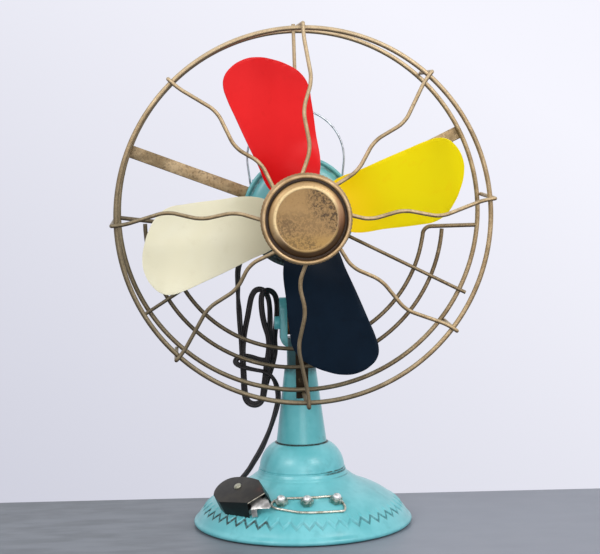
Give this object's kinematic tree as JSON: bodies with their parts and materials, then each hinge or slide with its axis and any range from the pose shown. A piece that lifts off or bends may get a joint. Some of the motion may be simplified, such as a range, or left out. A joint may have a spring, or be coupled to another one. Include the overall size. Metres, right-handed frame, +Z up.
{
  "type": "desk fan",
  "caption": "Small antique-style table fan: painted round stand, tilting head, wire guard, coloured loose-turning blades, carrying bail and a dummy lever switch with a short tied lead.",
  "frame": {"origin": "centre of the felt foot, on the table surface under the column's axis", "axes": "+Z up; the blades and the guard face -Y; +X is to the right of a person who looks at the fan's front"},
  "size_m": [0.265, 0.1865, 0.3629],
  "materials": {
    "turquoise_paint": "satin enamel with worn edges",
    "antique_brass": "aged, dark patina in the recesses",
    "red_enamel": "semi-gloss",
    "yellow_enamel": "semi-gloss",
    "navy_enamel": "semi-gloss",
    "cream_enamel": "semi-gloss",
    "black_tin": "worn black lacquer",
    "bright_steel": "polished nickel plate",
    "plain_steel": "plain zinc-plated steel",
    "bush_brass": "turned",
    "friction_fibre": "pressed fibre",
    "felt": "pressed felt",
    "lead_black": "matt woven sleeve"
  },
  "bodies": {
    "stand": {"base_felt": "felt", "base_plate": "plain_steel", "base_skirt": "turquoise_paint", "base_dome": "turquoise_paint", "column": "turquoise_paint", "knuckle_fork": "turquoise_paint", "tie_rod": "plain_steel", "tie_rod_nut": "plain_steel", "tilt_bolt": "turquoise_paint", "tilt_bolt_nut": "plain_steel", "friction_washers": "friction_fibre", "switch_cover": "black_tin", "switch_plate": "plain_steel", "switch_pivot": "bright_steel", "contact_nuts": "bright_steel", "contact_screws": "bright_steel", "contact_rail": "bright_steel", "cord_hank": "lead_black", "cord_lower": "lead_black"},
    "head": {"motor_front_plate": "turquoise_paint", "motor_drum": "turquoise_paint", "motor_rear_cap": "turquoise_paint", "neck_bracket": "turquoise_paint", "bracket_rivets": "turquoise_paint", "cap_screws": "plain_steel", "rear_ring": "antique_brass", "front_ring": "antique_brass", "guard_strip_left": "antique_brass", "guard_strip_right": "antique_brass", "guard_strip_bottom": "antique_brass", "rear_wire_top": "antique_brass", "rear_wire_left": "antique_brass", "rear_wire_right": "antique_brass", "inner_arc": "antique_brass", "outer_arc": "antique_brass", "front_spoke_1": "antique_brass", "front_spoke_2": "antique_brass", "front_spoke_3": "antique_brass", "front_spoke_4": "antique_brass", "front_spoke_5": "antique_brass", "front_spoke_6": "antique_brass", "front_spoke_7": "antique_brass", "front_spoke_8": "antique_brass", "badge_cup": "antique_brass", "badge_cap": "antique_brass", "front_bush": "bush_brass", "rear_bush": "bush_brass", "head_cord_grommet": "lead_black", "cord_upper": "lead_black"},
    "rotor": {"spindle": "plain_steel", "spindle_collars": "plain_steel", "blade_hub": "bush_brass", "red_blade": "red_enamel", "yellow_blade": "yellow_enamel", "navy_blade": "navy_enamel", "cream_blade": "cream_enamel", "blade_rivets": "bush_brass", "acorn_nut": "bush_brass"},
    "bail": {"bail_handle": "antique_brass"},
    "lever": {"switch_lever": "bright_steel"}
  },
  "joints": [
    {"name": "head_tilt", "type": "hinge", "parent": "stand", "child": "head", "pos_m": [0, 0, 0.148], "axis": [-1, 0, 0], "range_deg": [-5, 30]},
    {"name": "blade_spin", "type": "hinge", "parent": "head", "child": "rotor", "pos_m": [0, -0.05, 0.23], "axis": [0, -1, 0], "continuous": true},
    {"name": "bail_swing", "type": "hinge", "parent": "head", "child": "bail", "pos_m": [0, 0.008, 0.2485], "axis": [-1, 0, 0], "range_deg": [-30, 95]},
    {"name": "switch_swing", "type": "hinge", "parent": "stand", "child": "lever", "pos_m": [-0.04637, -0.03603, 0.03396], "axis": [-0.4284, -0.3594, 0.829], "range_deg": [-6, 7]}
  ]
}
